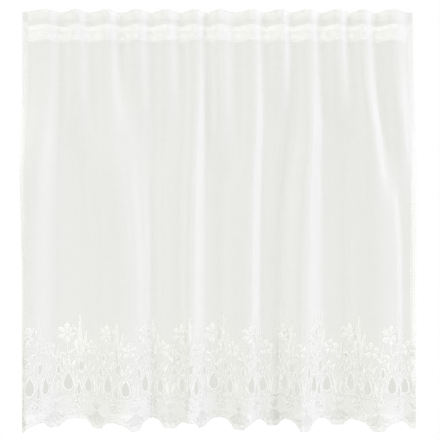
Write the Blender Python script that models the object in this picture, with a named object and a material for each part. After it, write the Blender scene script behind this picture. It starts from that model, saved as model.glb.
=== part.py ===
"""A sheer cafe curtain with an embroidered, scalloped hem, as it hangs in its folds.

Metres, +Z up. The origin is the middle of the top edge, where the curtain is held, and
the front faces -Y. A place on the flat cloth is (s, d): s runs across it from the left
edge, and d runs down it from the top edge.
"""

from collections import namedtuple

import bmesh
import bpy
import numpy as np
from mathutils import Vector
from mathutils.geometry import delaunay_2d_cdt

# The cloth as it was cut and sewn
DROP = 0.900
FLAT_WIDTH = 1.100
CLOTH_THICKNESS = 0.0012
HEM_THICKNESS = 0.0022
TOP_HEM = 0.021
SIDE_HEM = 0.012
HEM_STEP = 0.001

# The heading tape, sewn on the back
TAPE_TOP = 0.031
TAPE_BOTTOM = 0.065
TAPE_THICKNESS = 0.0012
TAPE_INSET = 0.006
SEAM_GAP = 0.0003

# The lace: one repeat lies between the middles of two hem lobes
REPEATS = 11
REPEAT_WIDTH = FLAT_WIDTH / REPEATS
LOBE_DEPTH = 0.019
LOBE_HALF_FLAT = 0.011
LOBE_SLOPE = 0.034
HEM_POINTS = (0.0, 0.011, 0.0155, 0.0205, 0.027, 0.035)
LACE_TOP = 0.650

# Each fold: where its crest and the valley to its right stand, measured from the curtain's left
# edge, across the heading and across the hem. Forward runs from 1 at a full crest to about -1 at a
# full valley. Every heading crest is full. Settle is how far down a fold has turned into its hem shape.
Fold = namedtuple(
    "Fold", "crest_top valley_top valley_forward crest_hem crest_forward valley_hem hem_forward settle"
)
FOLDS = (
    Fold(0.052, 0.082, -1.00, 0.010, 1.10, 0.071, -0.45, 0.36),
    Fold(0.114, 0.143, -0.90, 0.126, -0.50, 0.161, 0.00, 0.34),
    Fold(0.180, 0.209, -1.15, 0.216, 0.75, 0.238, 0.45, 0.27),
    Fold(0.242, 0.273, -0.90, 0.260, -0.20, 0.276, -0.60, 0.28),
    Fold(0.304, 0.337, -1.00, 0.302, -0.10, 0.330, -0.05, 0.28),
    Fold(0.364, 0.393, -0.90, 0.350, 0.55, 0.393, -0.60, 0.36),
    Fold(0.415, 0.454, -0.85, 0.418, -0.70, 0.449, 0.10, 0.42),
    Fold(0.485, 0.515, -0.90, 0.476, 0.40, 0.514, -0.60, 0.34),
    Fold(0.545, 0.574, -0.90, 0.532, -0.55, 0.552, -0.75, 0.26),
    Fold(0.602, 0.638, -1.00, 0.584, 0.65, 0.654, -0.75, 0.38),
    Fold(0.663, 0.699, -0.90, 0.694, -0.75, 0.714, 0.00, 0.30),
    Fold(0.716, 0.755, -1.00, 0.751, 0.60, 0.788, 0.35, 0.46),
    Fold(0.779, 0.832, -1.20, 0.812, -0.20, 0.835, -0.05, 0.46),
)
LEFT_EDGE_FORWARD_TOP = -0.70
LEFT_EDGE_FORWARD_HEM = 0.65
FOLDS_START = 0.072
DRIFT_END = 0.600
CREST_LEAN = 0.15
DEEPEST_FOLD = 0.080

# Depth, and where the curtain's two sides stand at that depth
Sides = namedtuple("Sides", "depth left right")
SIDES = (
    Sides(0.000, -0.425, 0.421),
    Sides(0.260, -0.424, 0.430),
    Sides(0.560, -0.416, 0.425),
    Sides(0.900, -0.416, 0.426),
)

# Openings cut in each repeat, with their middle across the repeat and above the hem's lowest line
CutOut = namedtuple("CutOut", "across up width height corners")
CUT_OUTS = (
    CutOut(0.0310, 0.098, 0.0210, 0.040, 8),
    CutOut(0.0760, 0.092, 0.0185, 0.036, 8),
    CutOut(0.0540, 0.084, 0.0090, 0.032, 6),
    CutOut(0.0580, 0.133, 0.0085, 0.028, 6),
    CutOut(0.0100, 0.124, 0.0085, 0.022, 6),
    CutOut(0.0510, 0.052, 0.0090, 0.009, 6),
)
DROP_SHAPE_WIDTH = 1.30
CUT_OUT_MARGIN = 0.0045

# Fineness of the mesh
PATH_SAMPLES = 1201
DEPTH_LEVELS = 61
FLANK_STEPS = (0.0, 0.18, 0.5, 0.82)
LACE_FLANK_STEPS = (0.0, 0.33, 0.67)
SHEER_ROWS = (0.110, 0.150, 0.195, 0.245, 0.300, 0.370, 0.460, 0.560, LACE_TOP)
ROWS = (0.0, TOP_HEM, TOP_HEM + HEM_STEP, TAPE_BOTTOM, *SHEER_ROWS)
SIDE_COLUMNS = [SIDE_HEM, SIDE_HEM + HEM_STEP, FLAT_WIDTH - SIDE_HEM - HEM_STEP, FLAT_WIDTH - SIDE_HEM]
LACE_ROW_STEP = 0.020
HEM_CLEARANCE = 0.007
SOLVER_ROUNDS = 40
MERGE_DISTANCE = 1e-6
SHARP_EDGE_DEGREES = 50
COLUMN_CLEARANCE = 0.003

VOILE_COLOUR = (0.86, 0.87, 0.84, 1.0)
TAPE_COLOUR = (0.91, 0.91, 0.89, 1.0)
CLOTH_ROUGHNESS = 0.85


def clear_scene():
    for thing in list(bpy.data.objects):
        bpy.data.objects.remove(thing, do_unlink=True)


def eased(share):
    """0 up to 0, 1 from 1 on, and an even S-curve between."""
    share = np.clip(share, 0.0, 1.0)
    return share * share * (3.0 - 2.0 * share)


def turning_curve(x, knots, values):
    """A smooth curve through the knots that turns round only at them."""
    step = np.diff(knots)
    rise = np.diff(values) / step
    slope = np.zeros(len(knots))
    same_way = rise[:-1] * rise[1:] > 0
    before = (2 * step[1:] + step[:-1])[same_way]
    after = (step[1:] + 2 * step[:-1])[same_way]
    slope[1:-1][same_way] = (before + after) / (before / rise[:-1][same_way] + after / rise[1:][same_way])
    cell = np.clip(np.searchsorted(knots, x, side="right") - 1, 0, len(step) - 1)
    t = (x - knots[cell]) / step[cell]
    from_left = (1 + 2 * t) * (1 - t) ** 2 * values[cell] + t * (1 - t) ** 2 * step[cell] * slope[cell]
    from_right = t**2 * (3 - 2 * t) * values[cell + 1] - t**2 * (1 - t) * step[cell] * slope[cell + 1]
    return from_left + from_right


def fold_knots(depth):
    """Every crest and valley at one depth: place from the left edge, and how far forward it stands."""
    drift = eased((depth - FOLDS_START) / (DRIFT_END - FOLDS_START))
    places = [0.0]
    forward = [
        LEFT_EDGE_FORWARD_TOP
        + (LEFT_EDGE_FORWARD_HEM - LEFT_EDGE_FORWARD_TOP)
        * eased((depth - FOLDS_START) / (FOLDS[0].settle - FOLDS_START))
    ]
    for fold in FOLDS:
        settled = eased((depth - FOLDS_START) / (fold.settle - FOLDS_START))
        places.append(fold.crest_top + (fold.crest_hem - fold.crest_top) * drift)
        forward.append(1.0 + (fold.crest_forward - 1.0) * settled)
        places.append(fold.valley_top + (fold.valley_hem - fold.valley_top) * drift)
        forward.append(fold.valley_forward + (fold.hem_forward - fold.valley_forward) * settled)
    return np.array(places), np.array(forward)


def fold_path(depth):
    """The cloth seen from above at one depth: x and y at evenly spaced places across the flat cloth,
    and the flat places of the crests and valleys.

    The folds are made deeper until the path is just as long as the cloth is wide, so that the
    cloth neither stretches nor shrinks. The crests lean to the right as they come forward.
    """
    places, forward = fold_knots(depth)
    side_depths = [side.depth for side in SIDES]
    left = np.interp(depth, side_depths, [side.left for side in SIDES])
    right = np.interp(depth, side_depths, [side.right for side in SIDES])
    share = np.linspace(0.0, 1.0, PATH_SAMPLES)
    wave = turning_curve(share * places[-1], places, forward)
    lean = wave - (wave[0] + (wave[-1] - wave[0]) * share)
    least, most = 0.0, DEEPEST_FOLD
    for _ in range(SOLVER_ROUNDS):
        reach = (least + most) / 2
        x = left + (right - left) * share + CREST_LEAN * reach * lean
        y = -reach * wave
        along = np.concatenate([[0.0], np.cumsum(np.hypot(np.diff(x), np.diff(y)))])
        if along[-1] < FLAT_WIDTH:
            least = reach
        else:
            most = reach
    turns = np.interp(places / places[-1], share, along) / along[-1] * FLAT_WIDTH
    flat = np.linspace(0.0, along[-1], PATH_SAMPLES)
    x = np.interp(flat, along, x)
    y = np.interp(flat, along, y)
    return x, y - y.mean(), turns


LEVEL_DEPTHS = np.linspace(0.0, DROP, DEPTH_LEVELS)
LEVELS = [fold_path(depth) for depth in LEVEL_DEPTHS]
FLAT_PLACES = np.linspace(0.0, FLAT_WIDTH, PATH_SAMPLES)


def hung(s, d):
    """Where the place (s, d) of the flat cloth hangs, in the row's frame."""
    level = min(max(d, 0.0), DROP) / DROP * (DEPTH_LEVELS - 1)
    upper = min(int(level), DEPTH_LEVELS - 2)
    share = level - upper
    x, y = (
        (1 - share) * np.interp(s, FLAT_PLACES, LEVELS[upper][axis])
        + share * np.interp(s, FLAT_PLACES, LEVELS[upper + 1][axis])
        for axis in (0, 1)
    )
    return Vector((x, y, -d))


def hem_depth(s):
    """How far below the top edge the scalloped hem runs at s: flat-footed lobes and domed arches."""
    from_lobe = abs((s + REPEAT_WIDTH / 2) % REPEAT_WIDTH - REPEAT_WIDTH / 2)
    risen = min(max((from_lobe - LOBE_HALF_FLAT) / LOBE_SLOPE, 0.0), 1.0)
    return DROP - LOBE_DEPTH * (1.0 - (1.0 - risen) ** 2)


def turns_at(d):
    """Flat places of the crests and valleys at one depth, with the two edges."""
    count = len(LEVELS[0][2])
    return [np.interp(d, LEVEL_DEPTHS, [level[2][number] for level in LEVELS]) for number in range(count)]


def columns_at(d, steps):
    """Flat places of the mesh's columns at one depth: they keep to the folds as those wander.

    One that would crowd an edge or a side hem is None.
    """
    turns = turns_at(d)
    flanks = zip(turns[:-1], turns[1:])
    columns = [left + (right - left) * step for left, right in flanks for step in steps]
    fixed = [0.0, *SIDE_COLUMNS, FLAT_WIDTH]
    return [s if min(abs(s - place) for place in fixed) > COLUMN_CLEARANCE else None for s in columns]


def row_of_columns(d, steps):
    """The columns that cross one row, with those of the side hems, from left to right."""
    return sorted([s for s in columns_at(d, steps) if s is not None] + SIDE_COLUMNS)


def cut_out_outline(cut, left):
    """A drop-shaped opening, pointed at its top and wider near its foot, as flat places."""
    middle_s = left + cut.across
    middle_d = DROP - cut.up
    turns = [2 * np.pi * corner / cut.corners for corner in range(cut.corners)]
    return [
        (
            middle_s + cut.width / 2 * DROP_SHAPE_WIDTH * np.sin(turn) * np.sin(turn / 2),
            middle_d - cut.height / 2 * np.cos(turn),
        )
        for turn in turns
    ]


def cut_outs():
    """All openings of the lace that clear the side hems: (cut, left edge of its repeat)."""
    found = []
    for repeat in range(REPEATS):
        left = repeat * REPEAT_WIDTH
        for cut in CUT_OUTS:
            reach = cut.width / 2 + CUT_OUT_MARGIN
            if SIDE_HEM + reach < left + cut.across < FLAT_WIDTH - SIDE_HEM - reach:
                found.append((cut, left))
    return found


def clear_of_cut_outs(s, d, cuts):
    return all(
        ((s - left - cut.across) / (cut.width / 2 + CUT_OUT_MARGIN)) ** 2
        + ((d - DROP + cut.up) / (cut.height / 2 + CUT_OUT_MARGIN)) ** 2
        > 1.0
        for cut, left in cuts
    )


def hem_places():
    """Where the hem's outline has its corners, from left to right: closer together on the slopes."""
    middles = [repeat * REPEAT_WIDTH for repeat in range(REPEATS + 1)]
    places = {middle + way * step for middle in middles for step in HEM_POINTS for way in (-1, 1)}
    places.update(middle + REPEAT_WIDTH / 2 for middle in middles)
    inner = sorted(round(place, 6) for place in places if 0.0 < place < FLAT_WIDTH)
    return [0.0, *sorted(set(inner)), FLAT_WIDTH]


def outline_points(lace_rows):
    """The edge of the cut cloth, from the top left corner to the right and round."""
    side_rows = [*ROWS[1:], *lace_rows]
    hem_steps = hem_places()
    top = [(s, 0.0) for s in (0.0, *row_of_columns(0.0, FLANK_STEPS), FLAT_WIDTH)]
    right = [(FLAT_WIDTH, d) for d in side_rows]
    hem = [(s, hem_depth(s)) for s in hem_steps[::-1]]
    left = [(0.0, d) for d in reversed(side_rows)]
    return top + right + hem + left


def ring_edges(first, count):
    return [(first + i, first + (i + 1) % count) for i in range(count)]


def add_sheer_columns(points, edges):
    """Adds the columns of the sheer part, each joined from row to row where no side hem lies between."""
    number = {place: i for i, place in enumerate(points)}
    lines = [[s] * len(ROWS) for s in SIDE_COLUMNS]
    lines += list(zip(*[columns_at(d, FLANK_STEPS) for d in ROWS]))
    for line in lines:
        above = None
        for place in zip(line, ROWS):
            if place[0] is None:
                above = None
                continue
            if place not in number:
                number[place] = len(points)
                points.append(place)
            if above and all((above[0] - side) * (place[0] - side) >= 0 for side in SIDE_COLUMNS):
                edges.append((number[above], number[place]))
            above = place


def lace_points(lace_rows, cuts):
    """Places inside the lace, along its folds, that stay clear of the cut-outs and the hem."""
    found = []
    for d in lace_rows:
        for s in row_of_columns(d, LACE_FLANK_STEPS):
            if d < hem_depth(s) - HEM_CLEARANCE and clear_of_cut_outs(s, d, cuts):
                found.append((s, d))
    return found


def flat_layout():
    """The cut cloth as flat points, the edges that must be kept, and the cut-out each point belongs to."""
    lace_rows = np.arange(LACE_TOP + LACE_ROW_STEP, DROP - LOBE_DEPTH, LACE_ROW_STEP)
    points = outline_points(lace_rows)
    edges = ring_edges(0, len(points))
    owner = {}
    cuts = cut_outs()
    for number, (cut, left) in enumerate(cuts):
        ring = cut_out_outline(cut, left)
        edges += ring_edges(len(points), len(ring))
        owner.update({len(points) + i: number for i in range(len(ring))})
        points += ring
    add_sheer_columns(points, edges)
    points += lace_points(lace_rows, cuts)
    return points, edges, owner


def hem_weight(s, d):
    """1 on the turned hems at the top and the sides, where the cloth lies double, and 0 elsewhere."""
    near_side = min(s, FLAT_WIDTH - s) < SIDE_HEM + HEM_STEP / 2
    return 1.0 if near_side or d < TOP_HEM + HEM_STEP / 2 else 0.0


def material(name, colour):
    made = bpy.data.materials.new(name)
    made.use_nodes = True
    shader = made.node_tree.nodes["Principled BSDF"]
    shader.inputs["Base Color"].default_value = colour
    shader.inputs["Roughness"].default_value = CLOTH_ROUGHNESS
    shader.inputs["Metallic"].default_value = 0.0
    return made


def add_solidify(thing, thickness):
    """Gives a sheet its wall, half on each side of it, equally thick round every bend."""
    wall = thing.modifiers.new("Wall", "SOLIDIFY")
    wall.thickness = thickness
    wall.offset = 0.0
    wall.use_even_offset = True
    wall.use_rim = True
    return wall


def link(name, mesh, paint):
    thing = bpy.data.objects.new(name, mesh)
    bpy.context.scene.collection.objects.link(thing)
    mesh.materials.append(paint)
    mesh.shade_smooth()
    mesh.set_sharp_from_angle(angle=np.radians(SHARP_EDGE_DEGREES))
    return thing


def make_panel():
    """The voile with its hems, its cut-outs and its scalloped hem, one piece of cloth."""
    points, edges, owner = flat_layout()
    places = [Vector((s, -d)) for s, d in points]
    flat, _, faces, origins, *_ = delaunay_2d_cdt(places, edges, [], 1, MERGE_DISTANCE)
    cloth = bmesh.new()
    corners = [cloth.verts.new(hung(place.x, -place.y)) for place in flat]
    for face in faces:
        cut = {owner.get(origins[i][0]) for i in face}
        if len(cut) > 1 or None in cut:
            cloth.faces.new([corners[i] for i in face])
    mesh = bpy.data.meshes.new("panel")
    cloth.to_mesh(mesh)
    cloth.free()
    panel = link("panel", mesh, material("white polyester voile", VOILE_COLOUR))
    doubled = panel.vertex_groups.new(name="turned hems")
    for number, place in enumerate(flat):
        doubled.add([number], hem_weight(place.x, -place.y), "REPLACE")
    wall = add_solidify(panel, HEM_THICKNESS)
    wall.vertex_group = doubled.name
    wall.thickness_vertex_group = CLOTH_THICKNESS / HEM_THICKNESS
    return panel


def beside(path, distance):
    """The path moved sideways, to its back, with mitred corners that keep it equally far everywhere."""
    ahead = [(b - a).normalized() for a, b in zip(path[:-1], path[1:])]
    moved = []
    for number, place in enumerate(path):
        before = ahead[max(number - 1, 0)]
        after = ahead[min(number, len(ahead) - 1)]
        along = (before + after).normalized()
        across = Vector((-along.y, along.x))
        moved.append(place + across * distance / along.dot(after))
    return moved


def tape_edge(strip, columns, depth):
    """One long edge of the tape, clear of the back of the cloth at that depth."""
    front = [hung(s, depth).to_2d() for s in columns]
    back = beside(front, HEM_THICKNESS / 2 + SEAM_GAP + TAPE_THICKNESS / 2)
    return [strip.verts.new((place.x, place.y, -depth)) for place in back]


def make_tape():
    """The woven tape behind the heading, a strip that follows every fold of the voile."""
    crossed = row_of_columns(TAPE_BOTTOM, FLANK_STEPS)
    columns = [s for s in crossed if TAPE_INSET < s < FLAT_WIDTH - TAPE_INSET]
    columns = [TAPE_INSET, *columns, FLAT_WIDTH - TAPE_INSET]
    strip = bmesh.new()
    upper = tape_edge(strip, columns, TAPE_TOP)
    lower = tape_edge(strip, columns, TAPE_BOTTOM)
    for i in range(len(columns) - 1):
        strip.faces.new([upper[i], lower[i], lower[i + 1], upper[i + 1]])
    mesh = bpy.data.meshes.new("heading_tape")
    strip.to_mesh(mesh)
    strip.free()
    tape = link("heading_tape", mesh, material("woven polyester tape", TAPE_COLOUR))
    add_solidify(tape, TAPE_THICKNESS)
    return tape


def main():
    clear_scene()
    make_panel()
    make_tape()


main()
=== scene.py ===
# %% [markdown]
# # A sheer cafe curtain with an embroidered hem
#
# The curtain is one width of polyester voile. A machine embroiders its lower edge, a tape is sewn
# behind its heading, and gravity does the rest. This lesson follows the maker: every piece is made
# flat on the table first, cloth and thread alike, and then one function hangs them all in the same
# folds. That way the embroidery bends with the cloth and never floats in front of it.

import math
from collections import namedtuple

import bmesh
import bpy
import numpy as np
from mathutils import Matrix, Vector
from mathutils.geometry import delaunay_2d_cdt


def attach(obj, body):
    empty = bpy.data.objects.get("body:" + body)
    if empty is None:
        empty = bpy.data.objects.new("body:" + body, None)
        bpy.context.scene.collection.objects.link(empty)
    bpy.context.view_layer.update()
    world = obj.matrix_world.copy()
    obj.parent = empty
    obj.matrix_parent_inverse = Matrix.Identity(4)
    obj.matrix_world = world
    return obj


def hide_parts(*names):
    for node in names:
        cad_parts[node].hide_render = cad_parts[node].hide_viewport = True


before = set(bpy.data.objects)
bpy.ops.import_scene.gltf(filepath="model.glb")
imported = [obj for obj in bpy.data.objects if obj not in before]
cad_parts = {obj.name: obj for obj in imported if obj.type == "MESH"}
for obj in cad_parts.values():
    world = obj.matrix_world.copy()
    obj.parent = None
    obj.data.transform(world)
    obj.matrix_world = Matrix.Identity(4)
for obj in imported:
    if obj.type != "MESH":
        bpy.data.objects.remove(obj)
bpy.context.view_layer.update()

# %% [markdown]
# ## The flat cloth
#
# On the table, x runs across the cloth from its left edge and y runs down it below zero, so a piece
# 850 mm down lies at y = -0.85. A raised thread stands up in z. The sizes are those of the solids.

# %% Sizes of the cloth on the table, in metres
DROP = 0.900
FLAT_WIDTH = 1.100
TOP_HEM = 0.021
SIDE_HEM = 0.012
TAPE_TOP, TAPE_BOTTOM, TAPE_INSET = 0.031, 0.065, 0.006
REPEATS = 11
REPEAT = FLAT_WIDTH / REPEATS
LOBE_DEPTH, LOBE_HALF_FLAT, LOBE_SLOPE = 0.019, 0.011, 0.034
LACE_TOP = 0.650
MM = 0.001
print(f"one lace repeat is {REPEAT * 1000:.1f} mm wide")

# %% [markdown]
# ## How the curtain hangs
#
# Gathering tape pulls the heading into thirteen small folds. Lower down the cloth is free, some
# folds die out and the others grow, until six are left at the hem. A cloth simulation could find
# such folds, but not these ones. So the main creases are listed: a table says where each
# crest and valley stands at the heading and at the hem, how far forward it comes, as a share of the
# deepest fold, and how far down it settles into its shape at the hem.

# %% The folds, measured from the curtain's left edge
Fold = namedtuple(
    "Fold", "crest_top valley_top valley_forward crest_hem crest_forward valley_hem hem_forward settle"
)
FOLDS = (
    Fold(0.052, 0.082, -1.00, 0.010, 1.10, 0.071, -0.45, 0.36),
    Fold(0.114, 0.143, -0.90, 0.126, -0.50, 0.161, 0.00, 0.34),
    Fold(0.180, 0.209, -1.15, 0.216, 0.75, 0.238, 0.45, 0.27),
    Fold(0.242, 0.273, -0.90, 0.260, -0.20, 0.276, -0.60, 0.28),
    Fold(0.304, 0.337, -1.00, 0.302, -0.10, 0.330, -0.05, 0.28),
    Fold(0.364, 0.393, -0.90, 0.350, 0.55, 0.393, -0.60, 0.36),
    Fold(0.415, 0.454, -0.85, 0.418, -0.70, 0.449, 0.10, 0.42),
    Fold(0.485, 0.515, -0.90, 0.476, 0.40, 0.514, -0.60, 0.34),
    Fold(0.545, 0.574, -0.90, 0.532, -0.55, 0.552, -0.75, 0.26),
    Fold(0.602, 0.638, -1.00, 0.584, 0.65, 0.654, -0.75, 0.38),
    Fold(0.663, 0.699, -0.90, 0.694, -0.75, 0.714, 0.00, 0.30),
    Fold(0.716, 0.755, -1.00, 0.751, 0.60, 0.788, 0.35, 0.46),
    Fold(0.779, 0.832, -1.20, 0.812, -0.20, 0.835, -0.05, 0.46),
)
LEFT_EDGE_FORWARD_TOP, LEFT_EDGE_FORWARD_HEM = -0.70, 0.65
FOLDS_START, DRIFT_END = 0.072, 0.600
CREST_LEAN = 0.15
DEEPEST_FOLD = 0.080
Sides = namedtuple("Sides", "depth left right")
SIDES = (
    Sides(0.000, -0.425, 0.421),
    Sides(0.260, -0.424, 0.430),
    Sides(0.560, -0.416, 0.425),
    Sides(0.900, -0.416, 0.426),
)
print(len(FOLDS), "folds across the heading")


# %% A smooth curve that turns only at its knots
def eased(share):
    """An S-curve from 0 to 1."""
    share = np.clip(share, 0.0, 1.0)
    return share * share * (3.0 - 2.0 * share)


def turning_curve(x, knots, values):
    """Values at x of a curve through the knots that never swings past one (monotone cubic pieces)."""
    step = np.diff(knots)
    rise = np.diff(values) / step
    slope = np.zeros(len(knots))
    same_way = rise[:-1] * rise[1:] > 0
    before = (2 * step[1:] + step[:-1])[same_way]
    after = (step[1:] + 2 * step[:-1])[same_way]
    mean_run = before / rise[:-1][same_way] + after / rise[1:][same_way]
    slope[1:-1][same_way] = (before + after) / mean_run
    cell = np.clip(np.searchsorted(knots, x, side="right") - 1, 0, len(step) - 1)
    t = (x - knots[cell]) / step[cell]
    from_left = (1 + 2 * t) * (1 - t) ** 2 * values[cell] + t * (1 - t) ** 2 * step[cell] * slope[cell]
    from_right = t**2 * (3 - 2 * t) * values[cell + 1] - t**2 * (1 - t) * step[cell] * slope[cell + 1]
    return from_left + from_right


print("halfway along, the S-curve gives", float(eased(0.5)))


# %% The folds at one depth
def fold_knots(depth):
    """Every crest and valley: place from the left edge, and how far forward it stands."""
    drift = eased((depth - FOLDS_START) / (DRIFT_END - FOLDS_START))
    edge = eased((depth - FOLDS_START) / (FOLDS[0].settle - FOLDS_START))
    places = [0.0]
    forward = [LEFT_EDGE_FORWARD_TOP + (LEFT_EDGE_FORWARD_HEM - LEFT_EDGE_FORWARD_TOP) * edge]
    for fold in FOLDS:
        settled = eased((depth - FOLDS_START) / (fold.settle - FOLDS_START))
        places.append(fold.crest_top + (fold.crest_hem - fold.crest_top) * drift)
        forward.append(1.0 + (fold.crest_forward - 1.0) * settled)
        places.append(fold.valley_top + (fold.valley_hem - fold.valley_top) * drift)
        forward.append(fold.valley_forward + (fold.hem_forward - fold.valley_forward) * settled)
    return np.array(places), np.array(forward)


# %% [markdown]
# Cloth hardly stretches, so each level of the curtain has to be as long along its folds as the
# cloth is wide. The depth of the folds is therefore not chosen but solved: it grows until the path
# measures 1.1 m. Cloth also bulges, so each crest leans over a little towards its neighbour.

# %% The path of the cloth at one depth, seen from above
PATH_SAMPLES, DEPTH_LEVELS, SOLVER_ROUNDS = 1201, 61, 40


def fold_path(depth):
    """Places x and y, seen from above, of evenly spaced points of the cloth at this depth."""
    places, forward = fold_knots(depth)
    side_depths = [side.depth for side in SIDES]
    left = np.interp(depth, side_depths, [side.left for side in SIDES])
    right = np.interp(depth, side_depths, [side.right for side in SIDES])
    share = np.linspace(0.0, 1.0, PATH_SAMPLES)
    wave = turning_curve(share * places[-1], places, forward)
    lean = wave - (wave[0] + (wave[-1] - wave[0]) * share)
    least, most = 0.0, DEEPEST_FOLD
    for _ in range(SOLVER_ROUNDS):
        reach = (least + most) / 2
        x = left + (right - left) * share + CREST_LEAN * reach * lean
        y = -reach * wave
        along = np.concatenate([[0.0], np.cumsum(np.hypot(np.diff(x), np.diff(y)))])
        least, most = (reach, most) if along[-1] < FLAT_WIDTH else (least, reach)
    flat = np.linspace(0.0, along[-1], PATH_SAMPLES)
    x = np.interp(flat, along, x)
    y = np.interp(flat, along, y)
    return x, y - y.mean()


LEVELS = np.array([fold_path(depth) for depth in np.linspace(0.0, DROP, DEPTH_LEVELS)])
print("the folds are", np.round(np.ptp(LEVELS[:, 1], axis=1)[::20] * 1000), "mm deep, top to hem")


# %% [markdown]
# ## One function that hangs everything
#
# It takes points on the table and gives their places in the hung curtain. The height of a raised
# thread is carried along the cloth's own normal, forwards for the right side of the cloth and
# backwards for the wrong side.

# %% Hang points and pieces
ALONG = np.gradient(LEVELS, FLAT_WIDTH / (PATH_SAMPLES - 1), axis=2)
ALONG /= np.linalg.norm(ALONG, axis=1, keepdims=True)
NORMALS = np.stack([ALONG[:, 1], -ALONG[:, 0]], axis=1)
SHARP_ANGLE = 60


def hung(flat):
    """Places in the hung curtain of an array of flat points (x, y, height)."""
    level = np.clip(-flat[:, 1] / DROP, 0.0, 1.0) * (DEPTH_LEVELS - 1)
    sample = flat[:, 0] / FLAT_WIDTH * (PATH_SAMPLES - 1)
    upper = np.minimum(level.astype(int), DEPTH_LEVELS - 2)
    left = np.clip(sample.astype(int), 0, PATH_SAMPLES - 2)
    down = (level - upper)[:, None]
    across = (sample - left)[:, None]

    def looked_up(grid):
        over = grid[upper, :, left] * (1 - across) + grid[upper, :, left + 1] * across
        under = grid[upper + 1, :, left] * (1 - across) + grid[upper + 1, :, left + 1] * across
        return over * (1 - down) + under * down

    place = looked_up(LEVELS) + looked_up(NORMALS) * flat[:, 2:3]
    return np.column_stack([place, flat[:, 1]])


def smooth(piece):
    """Smooth shading, but sharp where a form's or a hem's front and back meet."""
    piece.data.shade_smooth()
    piece.data.set_sharp_from_angle(angle=math.radians(SHARP_ANGLE))


def hang(piece):
    """Moves a finished flat piece into the folds."""
    flat = np.empty(len(piece.data.vertices) * 3)
    piece.data.vertices.foreach_get("co", flat)
    piece.data.vertices.foreach_set("co", hung(flat.reshape(-1, 3)).ravel())
    piece.data.update()
    return piece


hem_middle = np.array([[FLAT_WIDTH / 2, -DROP, 0.0]])
print("the middle of the hem hangs at", np.round(hung(hem_middle)[0], 4))

# %% [markdown]
# ## Colours and a helper for nodes
#
# Colours are noted as the sRGB hex values that a paint program shows, and one function turns them
# into the linear numbers that a shader works with. One more small function adds a node.


# %% Colour and node helpers
def linear(hex_code):
    """An sRGB hex colour as linear red, green, blue and alpha."""
    shares = [int(hex_code[i : i + 2], 16) / 255 for i in (1, 3, 5)]
    return [s / 12.92 if s <= 0.04045 else ((s + 0.055) / 1.055) ** 2.4 for s in shares] + [1.0]


def add(tree, kind, settings=None, **inputs):
    """Adds a node, sets it up, and sets or links its inputs, whose spaces are written as underscores."""
    node = tree.nodes.new(kind)
    for name, value in (settings or {}).items():
        setattr(node, name, value)
    for name, value in inputs.items():
        key = int(name[1:]) if name[0] == "_" else name.replace("_", " ")
        if isinstance(value, bpy.types.NodeSocket):
            tree.links.new(value, node.inputs[key])
        else:
            node.inputs[key].default_value = value
    return node


def new_material(name):
    """An empty material and its node tree."""
    made = bpy.data.materials.new(name)
    made.use_nodes = True
    made.node_tree.nodes.clear()
    return made, made.node_tree


print("voile white is", [round(c, 3) for c in linear("#F6F6F3")])

# %% [markdown]
# ## Polyester voile
#
# Voile is an open plain weave of fine twisted yarns, so about three fifths of the light goes
# straight through between them. Seen aslant the yarns close up, which is why every fold's flank
# looks whiter than the flat cloth. The shader mixes a transparent and a woven part, and the share
# of the woven part follows the slant. Past the slant limit the yarns touch and the cloth gets no
# denser. Its threads are 0.3 mm apart, far finer than a pixel here, so only their uneven thickness
# is drawn, as faint streaks along both thread directions, each about 4 mm wide and 110 mm long.

# %% Voile, its denser ground, its hems and the net of the pockets
SLANT_LIMIT = 0.46
STREAKS_ACROSS, STREAKS_ALONG = 260.0, 9.0
UNEVENNESS = 0.006


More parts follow.
